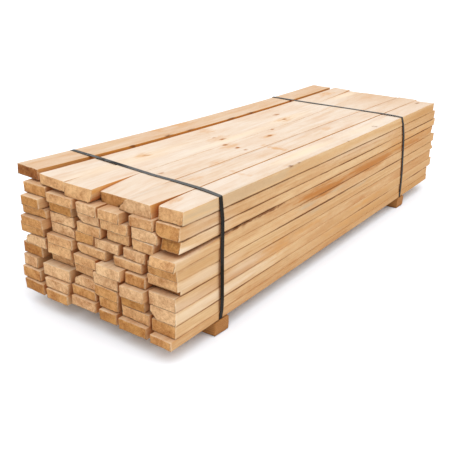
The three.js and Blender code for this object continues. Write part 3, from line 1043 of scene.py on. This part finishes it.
def joined(meshes: Sequence[Mesh]) -> Mesh:
    """Puts several meshes with the same materials into one.

    Args:
        meshes: The meshes. All but the first are removed.

    Returns:
        The first mesh, now holding them all.
    """
    if len(meshes) == 1:
        return meshes[0]
    work = bmesh.new()
    for mesh in meshes:
        work.from_mesh(mesh)
    work.to_mesh(meshes[0])
    work.free()
    for mesh in meshes[1:]:
        bpy.data.meshes.remove(mesh)
    return meshes[0]


@dataclass
class StudStack:
    """All the studs and the packing board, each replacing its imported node."""

    tree: SawnBoardTree
    looks: Mapping[str, Sequence[Look]]
    end_tones: Mapping[str, EndTone]
    seed: int = 4127
    shown_segments: int = 110
    hidden_segments: int = 56
    end_wear: float = 1.8 * MM
    # What chance gives a board whose look leaves it open, in millimetres where it is a length.
    tones: Pair = (-0.16, 0.34)  # the least, and how much more there may be
    furs: Pair = (0.6, 0.9)
    most_brown: float = 0.3
    skews: Pair = (4.0, 3.0)  # how far an end is out of square at most, from edge to edge, across and up

    def build(self, nodes: Mapping[str, Object]) -> None:
        """Builds every board.

        Args:
            nodes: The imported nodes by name.
        """
        chance = random.Random(self.seed)
        for name in sorted(n for n in nodes if "stud" in n or n == "packing_board"):
            looks = self.looks.get(name, ())
            place = 3 if name.endswith("3_4") else int(name[-1]) if name[-1].isdigit() else 1
            meshes = []
            for index, section in enumerate(sections_of(nodes[name])):
                look = looks[index] if index < len(looks) else Look()
                label = f"{name.split('_')[0]}_{place + index}"
                meshes.append(self.board(label, section, look, self.shown(name), chance))
            adopt(f"sawn_{name}", joined(meshes), Slot.STUD, name)

    def shown(self, name: str) -> bool:
        """Whether a board's long faces show."""
        return name.startswith("top") or name.endswith("stud_1") or not name.startswith("layer")

    def board(self, name: str, section: Section, look: Look, shown: bool, chance: random.Random) -> Mesh:
        """Builds one board.

        Args:
            name: Its layer and place.
            section: Its size and place.
            look: How it differs.
            shown: Whether its long faces show.
            chance: The stack's random numbers.

        Returns:
            The board's mesh.
        """
        front, back = section.front - look.grow[0] * MM, section.back + look.grow[1] * MM
        height = section.top + look.lift * MM - section.bottom
        half = ((section.far - section.near) / 2, (back - front) / 2, height / 2)
        draws = [chance.random() for _ in range(6)]
        tone = look.tone if look.tone is not None else self.tones[0] + self.tones[1] * draws[0]
        brown = look.brown if look.brown is not None else self.most_brown * draws[1] ** 2
        fur = look.fur if look.fur is not None else self.furs[0] + self.furs[1] * draws[2]
        skew = look.skew or ((draws[3] - 0.5) * self.skews[0], (draws[4] - 0.5) * self.skews[1])
        bends = {
            "Near Front Curl": look.front_curl,
            "Near Back Curl": look.back_curl,
            "Far Front Curl": look.far_front_curl,
            "Far Back Curl": look.far_back_curl,
            "Near Shift": look.near_shift,
            "Middle Shift": look.middle_shift,
            "Far Shift": look.far_shift,
            "End Skew": skew,
        }
        values = {
            "Half Size": half,
            "Middle": (section.near + half[0], front + half[1], section.bottom + half[2]),
            "Segments": self.shown_segments if shown else self.hidden_segments,
            "Arris": look.arris * MM,
            "Front Drop": section.front_drop - look.front_lift * MM,
            "Wane Corner": (0.0, *section.wane_corner),
            "Wane Size": (1.0, *section.wane_size),
            "Gap": look.gap * MM,
            "Dip": metres(look.dip),
            "End Wear": self.end_wear,
            "End Fur": fur * MM,
            "Curl Reach": look.curl_reach * MM,
            "Look": (tone, brown, draws[5]),
            "End Tint": linear(self.end_tones.get(name, EndTone.TAN).value)[:3],
            "Heart": look.heart,
            "Seed": draws[5],
            **{label: (0.0, *metres(bend)) for label, bend in bends.items()},
        }
        return run_tree(carrier(name), self.tree.tree, values)


@dataclass
class Bearers:
    """The two bearers, each a short sawn board across the bundle."""

    tree: SawnBoardTree
    seeds: Mapping[str, float]
    arris: float = 3 * MM
    hollow: float = 1.2 * MM
    end_fur: float = 1.2 * MM
    end_skew: Triple = (0.0, 1.5 * MM, -1.0 * MM)

    def build(self) -> None:
        """Builds both bearers."""
        for name, seed in self.seeds.items():
            low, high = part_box(name)
            size = (high - low) / 2
            values = {
                "Half Size": (size.y, size.x, size.z),
                "Middle": tuple((low + high) / 2),
                "Arris": self.arris,
                "Hollow": self.hollow,
                "End Skew": self.end_skew,
                "End Fur": self.end_fur,
                "Turn": math.pi / 2,
                "Look": (0.0, 0.0, seed),
                "Seed": seed,
            }
            mesh = run_tree(carrier(name + "_source"), self.tree.tree, values)
            adopt(f"sawn_{name}", mesh, Slot.BEARER, name)


@dataclass(frozen=True)
class StrapRun:
    """How one strap leaves the straight line, in millimetres.

    Each line holds shares of the run and how far the strap is moved along the studs there.
    """

    fair_line: Sequence[Pair]
    top_line: Sequence[Pair]
    stand_off: float  # how far its run down the fair side stands clear of the studs

    @staticmethod
    def along(line: Sequence[Pair], share: float) -> float:
        """Reads a line at a share of the run.

        Args:
            line: Shares and offsets, in order.
            share: The share of the run.

        Returns:
            The offset there, in metres.
        """
        for (left, low), (right, high) in zip(line, line[1:]):
            if share <= right:
                part = (share - left) / (right - left)
                return (low + (high - low) * part * part * (3 - 2 * part)) * MM
        return line[-1][1] * MM

    def on_fair_side(self, share: float) -> Vector:
        """Its place on the way down the fair side, clear of the studs but for its first and last stretch."""
        clear = self.stand_off * min(1.0, 6 * share, 8 * (1 - share)) * MM
        return Vector((self.along(self.fair_line, share), -clear, 0.0))

    def on_top(self, share: float) -> Vector:
        """Its place on the way over the top."""
        return Vector((self.along(self.top_line, share), 0.0, 0.0))


@dataclass
class Straps:
    """The two straps, each swept round the path of its packed ring."""

    tree: StrapTree
    runs: Mapping[str, StrapRun]
    width: float = 17.5 * MM
    thickness: float = 0.8 * MM
    ribs: int = 7
    rib_height: float = 0.16 * MM
    corner_radius: float = 5 * MM
    points: int = 12

    def build(self, nodes: Mapping[str, Object]) -> None:
        """Builds both straps.

        Args:
            nodes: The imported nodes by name.
        """
        values = {
            "Width": self.width,
            "Thickness": self.thickness,
            "Ribs": self.ribs,
            "Rib Height": self.rib_height,
            "Corner Radius": self.corner_radius,
        }
        for name, run in self.runs.items():
            curve = bpy.data.curves.new(name + "_path", "CURVE")
            curve.dimensions = "3D"
            path = self.bowed(run, self.path_of(nodes[name]))
            spline = curve.splines.new("POLY")
            spline.points.add(len(path) - 1)
            for point, place in zip(spline.points, path):
                point.co = (*place, 1.0)
            spline.use_cyclic_u = True
            mesh = run_tree(carrier(name + "_source", curve), self.tree.tree, values)
            adopt(f"ribbed_{name}", mesh, Slot.STRAP, name)

    def bowed(self, run: StrapRun, path: Sequence[Vector]) -> list[Vector]:
        """Bows the runs of a strap over the top and down the fair side, where it was not drawn straight.

        Args:
            run: How the strap leaves the straight line.
            path: The corners of the path, in order.

        Returns:
            The path, with more points in the two runs.
        """
        front, back = min(corner.y for corner in path), max(corner.y for corner in path)
        least_drop, top_from = 0.3, 0.4  # what tells a run down the side, and one over the top
        bowed = []
        for index, corner in enumerate(path):
            after = path[(index + 1) % len(path)]
            fair = abs(corner.y - after.y) < 1 * MM and corner.z - after.z > least_drop
            upper = min(corner.z, after.z) > top_from
            for step in range(self.points if fair or upper else 1):
                spot = corner.lerp(after, step / self.points)
                if fair:
                    spot += run.on_fair_side(step / self.points)
                elif upper:
                    spot += run.on_top((spot.y - front) / (back - front))
                bowed.append(spot)
        return bowed

    @staticmethod
    def path_of(node: Object) -> list[Vector]:
        """Reads the middle line of a packed ring.

        Args:
            node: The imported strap, a thin ring round the bundle.

        Returns:
            The corners of the closed path, in order.
        """
        rings: dict[Pair, list[float]] = {}
        for vertex in node.data.vertices:
            rings.setdefault((round(vertex.co.y, 5), round(vertex.co.z, 5)), []).append(vertex.co.x)
        points = sorted((y, z, (min(xs) + max(xs)) / 2) for (y, z), xs in rings.items())
        middle_y, middle_z = (sum(p[i] for p in points) / len(points) for i in (0, 1))
        outer = []
        for y, z, x in points:
            mates = [p for p in points if math.hypot(p[0] - y, p[1] - z) < 3 * MM]
            mates.sort(key=lambda p: math.hypot(p[0] - middle_y, p[1] - middle_z))
            if mates[-1] == (y, z, x):
                inner = mates[0]
                outer.append(((y + inner[0]) / 2, (z + inner[1]) / 2, (x + inner[2]) / 2))
        outer.sort(key=lambda p: math.atan2(p[1] - middle_z, p[0] - middle_y))
        return [Vector((x, y, z)) for y, z, x in outer]


@dataclass
class Studio:
    """Floor, light and camera. Angles are in degrees."""

    floor_half: float = 60.0
    sky: str = "#FFFFFF"
    sky_strength: float = 0.97
    key_strength: float = 1.65
    key_angle: float = 70.0
    key_aim: Triple = (0.2, 0.36, -1.0)
    eye: Triple = (-2.3558, -1.4523, 1.1204)
    heading: float = 35.88
    pitch: float = 21.66
    roll: float = 0.56
    lens: float = 50.54
    sensor: float = 36.0
    clip: Pair = (0.05, 300.0)

    def build(self) -> None:
        """Builds the studio."""
        self.build_camera()
        self.build_floor()
        self.build_light()

    def build_camera(self) -> None:
        """Places the camera."""
        data = bpy.data.cameras.new("camera")
        data.sensor_width, data.lens = self.sensor, self.lens
        data.clip_start, data.clip_end = self.clip
        placed = Matrix.Translation(Vector(self.eye))
        for angle, axis in ((self.heading - 90, "Z"), (90 - self.pitch, "X"), (self.roll, "Z")):
            placed @= Matrix.Rotation(math.radians(angle), 4, axis)
        camera = carrier("camera", data)
        camera.matrix_world = placed
        bpy.context.scene.camera = camera
        LOG.info("camera at %s", self.eye)

    def build_floor(self) -> None:
        """Lays the floor."""
        reach = self.floor_half
        mesh = bpy.data.meshes.new("floor")
        corners = [(-reach, -reach, 0), (reach, -reach, 0), (reach, reach, 0), (-reach, reach, 0)]
        mesh.from_pydata(corners, [], [(0, 1, 2, 3)])
        mesh.materials.append(PaleFloor().build())
        carrier("floor", mesh)
        LOG.info("floor: %.0f m", 2 * reach)

    def build_light(self) -> None:
        """Sets a white sky and one broad soft key from above."""
        scene = bpy.context.scene
        scene.world = bpy.data.worlds.new("sky")
        scene.world.use_nodes = True
        background = scene.world.node_tree.nodes["Background"]
        background.inputs["Color"].default_value = linear(self.sky)
        background.inputs["Strength"].default_value = self.sky_strength
        data = bpy.data.lights.new("key", "SUN")
        data.energy, data.angle = self.key_strength, math.radians(self.key_angle)
        key = carrier("key", data)
        key.rotation_mode = "QUATERNION"
        key.rotation_quaternion = Vector(self.key_aim).to_track_quat("-Z", "Y")
        scene.view_settings.view_transform = "Standard"
        LOG.info("sky and key light")


# Marks on the upper faces of the top layer, in lay-up millimetres: x, y, reach along and across, strength.
TOP_MARKS: dict[MarkKind, Sequence[tuple[float, ...]]] = {
    MarkKind.KNOT: (
        (665, 340, 22, 12, 1.0), (665, 282, 18, 11, 1.0), (662, 240, 16, 9, 0.7), (909, 288, 24, 12, 1.0),
        (1013, 338, 20, 11, 0.9), (733, 402, 22, 12, 1.0), (727, 442, 16, 9, 0.8), (1216, 398, 30, 14, 1.0),
        (230, 288, 19, 11, 0.7), (360, 478, 19, 11, 0.6), (1288, 485, 27, 12, 0.8),
    ),
    MarkKind.PITCH: (
        (665, 320, 60, 40, 0.45), (909, 288, 70, 30, 0.5), (730, 420, 75, 45, 0.4),
        (1216, 398, 90, 34, 0.5), (764, 168, 22, 75, 0.6), (411, 90, 16, 95, 0.35),
        (795, 545, 60, 45, 0.45), (1926, 550, 120, 40, 0.6), (450, 210, 70, 30, 0.35),
        (252, 175, 60, 30, 0.35), (1194, 170, 60, 26, 0.4), (50, 86, 55, 18, 0.5),
        (350, 490, 50, 40, 0.5), (672, 715, 50, 40, 0.5), (830, 720, 70, 50, 0.5), (454, 219, 24, 26, 0.5),
    ),
    MarkKind.BARK: ((1390, 25, 18, 26, 0.5), (2050, 70, 30, 12, 0.8)),
    MarkKind.PALE: (
        (810, 378, 420, 34, 0.6), (1970, 462, 260, 40, 0.7), (780, 60, 360, 42, 0.8),
        (1300, 50, 330, 46, 0.45), (300, 470, 500, 60, 0.5), (1250, 400, 300, 50, 0.5),
    ),
    # The far end is darker: painted shade of the light falling off along the bundle.
    MarkKind.MELLOW: ((2250, 300, 700, 900, 0.35),),
}

# Marks on the fair long side: x, z, reach along and up, strength.
SIDE_MARKS: dict[MarkKind, Sequence[tuple[float, ...]]] = {
    MarkKind.BARK: (
        # The mark at (310, 296) is painted shade at the near end of the joint between layer03 and layer04.
        (600, 431, 18, 8, 0.7), (658, 430, 12, 6, 0.7), (1064, 430, 14, 6, 0.6), (310, 296, 46, 16, 0.8),
    ),
    MarkKind.HEARTWOOD: ((870, 272, 330, 34, 0.95), (1330, 274, 380, 32, 0.9), (1800, 280, 420, 32, 0.8)),
    # Those at x 2050 to 2250 are painted shade where the light falls off; the rest darken single boards.
    MarkKind.MELLOW: (
        (2250, 250, 900, 420, 0.5), (1000, 402, 2400, 34, 0.5), (2050, 406, 900, 44, 1.0),
        (2050, 14, 800, 50, 1.0), (1500, 40, 1200, 44, 0.85), (60, 236, 200, 24, 0.5),
        (1650, 281, 220, 30, 0.9), (1000, 176, 1100, 22, 0.45), (1700, 94, 1300, 36, 0.7),
        (2150, 44, 500, 60, 0.8), (1300, 195, 2400, 14, 0.5),
    ),
    MarkKind.PALE: (
        (90, 192, 300, 30, 0.45), (150, 98, 500, 30, 0.6), (340, 144, 260, 30, 0.4),
        # The mark at (-10, 298) is a painted highlight on the near end of layer04, in the shade of the board
        # above.
        (-20, 134, 260, 34, 0.4), (-10, 298, 150, 30, 0.6), (140, 338, 160, 40, 0.35),
        (130, 378, 180, 40, 0.3), (1200, 378, 500, 36, 0.35),
    ),
    MarkKind.PITCH: (
        (1800, 302, 620, 40, 0.5), (520, 140, 150, 40, 0.5), (1150, 60, 500, 22, 0.4),
        (750, 144, 240, 16, 0.4), (1320, 98, 230, 14, 0.55),
    ),
    MarkKind.STAIN: (
        (300, 410, 560, 36, 0.45), (750, 238, 130, 18, 0.7), (1000, 238, 170, 16, 0.6),
        (815, 200, 100, 14, 0.6), (1230, 200, 120, 14, 0.6),
    ),
    # Painted shadow: dark dashes under overhanging boards along the joints.
    MarkKind.SEAM: (
        (400, 386, 700, 14, 0.75), (1200, 382, 500, 14, 0.5), (300, 342, 700, 14, 0.85),
        (1100, 340, 500, 14, 1.0), (1940, 342, 320, 14, 1.0), (330, 303, 330, 16, 1.0),
        (880, 300, 360, 14, 0.6), (1850, 303, 420, 16, 1.0), (60, 257, 180, 12, 0.8),
        (1000, 256, 500, 12, 0.6), (780, 210, 420, 14, 0.95), (1560, 212, 240, 14, 0.9),
        (60, 168, 200, 12, 0.9), (520, 166, 300, 12, 0.5), (300, 120, 260, 12, 0.5),
        (280, 76, 400, 14, 0.9), (1330, 75, 300, 14, 0.95), (1960, 76, 260, 14, 0.95),
    ),
}

# Marks on the flanks and ledges between boards: place, reach, strength.
FLANK_MARKS: dict[MarkKind, Sequence[tuple[Triple, Triple, float]]] = {
    # A painted highlight on the ledge of layer04, in the shade of layer03 above it.
    MarkKind.PALE: (((-40, 45, 310), (100, 160, 20), 1.0),),
    MarkKind.BARK: (
        # The first is painted shade on the top of layer04, deep in the gap under layer03.
        ((400, 12, 298), (260, 50, 9), 1.0), ((434, 612, 442), (26, 14, 12), 0.9),
        ((646, 612, 442), (30, 14, 12), 0.9), ((788, 612, 442), (44, 14, 12), 0.9),
        ((1093, 612, 442), (36, 14, 12), 0.8), ((1242, 612, 442), (40, 14, 12), 0.9),
    ),
    # Resin, and painted warm light bounced between the boards, on T1's front and in the wedges at the near
    # end.
    MarkKind.RESIN: (
        ((1030, 612, 440), (3200, 24, 40), 1.0), ((20, 112, 430), (320, 20, 40), 0.8),
        ((1500, 214, 437), (560, 12, 12), 0.6), ((80, 345, 430), (240, 12, 24), 0.9),
    ),
}

TOP_FACES, TOP_REACH = 436, 60  # how high the upper faces are, and how far up and down their marks reach
FAIR_SIDE, SIDE_REACH = -2, 16  # where the fair long side is across, and how far in its marks reach
MARKS = (
    *(
        Mark(kind, (x, y, TOP_FACES), (along, across, TOP_REACH), strength)
        for kind, rows in TOP_MARKS.items()
        for x, y, along, across, strength in rows
    ),
    *(
        Mark(kind, (x, FAIR_SIDE, z), (along, SIDE_REACH, up), strength)
        for kind, rows in SIDE_MARKS.items()
        for x, z, along, up, strength in rows
    ),
    *(Mark(kind, *row) for kind, rows in FLANK_MARKS.items() for row in rows),
)

# Each look starts with the board's tone and brownness.
LOOKS: dict[str, tuple[Look, ...]] = {
    "top_stud_1": (
        Look(
            -0.24, 0.0, gap=0, arris=0.5, lift=0.5, grow=(0, 1.5),
            skew=(0, 3), back_curl=(-14, 0), middle_shift=(0, -3),
        ),
    ),
    "top_stud_2": (
        Look(
            -0.08, 0.0, gap=0, arris=0.3, lift=4, front_lift=-4.2, grow=(0.6, 0),
            front_curl=(6, 0), back_curl=(-6, -2.5),
        ),
    ),
    "top_studs_3_4": (
        Look(
            -0.1, 0.0, gap=0, arris=0.3, lift=6, front_lift=-3, grow=(12, 5),
            front_curl=(0, -10.5), back_curl=(0, -15.5), far_back_curl=(66, 0),
        ),
        Look(
            -0.2, 0.0, gap=0, arris=0.3, lift=6.5, front_lift=-2.5, grow=(0, 8),
            front_curl=(0, -2), back_curl=(0, -2.5), far_front_curl=(64, 0), far_back_curl=(36, 0),
        ),
    ),
    "top_stud_5": (
        Look(
            -0.14, 0.0, gap=0, arris=0.3, front_lift=8.5,
            far_front_curl=(28, 0), near_shift=(4, -1), middle_shift=(-8, -5), far_shift=(8, 4.5),
        ),
    ),
    "top_stud_6": (
        Look(
            0.3, 0.1, heart=0.5, gap=0, fur=3,
            near_shift=(7, 3), middle_shift=(-8, -4.5), far_shift=(9, 4.5),
        ),
    ),
    "layer02_stud_1": (Look(0.14, 0.04, gap=2.5, grow=(-1.2, 0), skew=(0, 4.5), middle_shift=(0, -4)),),
    "layer02_stud_6": (Look(gap=5),),
    "layer03_stud_1": (
        Look(-0.04, 0.0, heart=0.5, gap=3, grow=(-1.2, 0), skew=(0, 6.5), middle_shift=(0, -2.5)),
    ),
    "layer04_stud_1": (
        Look(
            0.12, 0.05, gap=2, dip=(-1091, 600, 15), grow=(-1.5, 0), skew=(0, 9),
            front_curl=(-10, 2), curl_reach=550, middle_shift=(0, -3),
        ),
    ),
    "layer05_stud_1": (
        Look(
            -0.02, 0.0, gap=0, dip=(-1106, 400, -2), front_curl=(0, 4), curl_reach=500, middle_shift=(0, -3)
        ),
    ),
    "layer06_stud_1": (
        Look(-0.04, 0.0, arris=0.3, gap=3, dip=(-1093, 500, -6), grow=(-1, 0), middle_shift=(0, -4.5)),
    ),
    "layer07_stud_1": (Look(-0.04, 0.0, arris=0.3, gap=0, lift=1, grow=(-1, 0), middle_shift=(0, -4.5)),),
    "layer08_stud_1": (Look(0.12, 0.03, gap=2, grow=(-1.5, 0), middle_shift=(0, -4.5)),),
    "layer09_stud_1": (Look(-0.04, 0.0, gap=0, middle_shift=(0, -2)),),
    "layer10_stud_1": (Look(0.04, 0.0, gap=3, grow=(-1.5, 0), middle_shift=(0, -1)),),
    "layer11_stud_1": (Look(0.18, 0.08, gap=0),),
}

# The first letter of each end face's tone, by layer, from the fair side to the back.
TONE_ROWS = {
    "top": "TPOTTD",
    "layer02": "OTTPTO",
    "layer03": "BPTPBB",
    "layer04": "TTTTPO",
    "layer05": "OPPOPO",
    "layer06": "TTTTO",
    "layer07": "DOPTTP",
    "layer08": "PPPTTB",
    "layer09": "PBOPPP",
    "layer10": "OTOOPO",
    "layer11": "OBBPOB",
}
END_TONES = {
    f"{layer}_{place}": next(tone for tone in EndTone if tone.name[0] == letter)
    for layer, letters in TONE_ROWS.items()
    for place, letter in enumerate(letters, 1)
}

STRAP_RUNS: dict[str, StrapRun] = {
    "strap_near": StrapRun(
        fair_line=((0.0, 2), (0.25, 4), (0.5, 2), (0.9, 2), (1.0, 5)),
        top_line=((0.0, 2), (0.12, 13), (0.21, 11), (0.42, 1), (1.0, 0)),
        stand_off=6,
    ),
    "strap_far": StrapRun(
        fair_line=((0.0, -2), (0.1, 14), (0.25, 23), (0.6, 18), (1.0, 0)),
        top_line=((0.0, -2), (0.1, 12), (0.3, 5), (0.8, -8), (1.0, 0)),
        stand_off=3,
    ),
}

BEARER_SEEDS = {"bearer_near": 0.31, "bearer_far": 0.74}


def main() -> None:
    """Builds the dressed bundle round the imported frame."""
    logging.basicConfig(level=logging.INFO, format="%(name)s %(message)s")
    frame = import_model()
    nodes = frame["nodes"]

    Studio().build()
    face, end = SawnPineFace(marks=MARKS).build(), SawnPineEnd().build()
    bearer = BearerPine().build()
    StudStack(SawnBoardTree(face, end), LOOKS, END_TONES).build(nodes)
    Bearers(SawnBoardTree(bearer, bearer), BEARER_SEEDS).build()
    Straps(StrapTree(Strapping().build()), STRAP_RUNS).build(nodes)


if __name__ == "__main__":
    main()
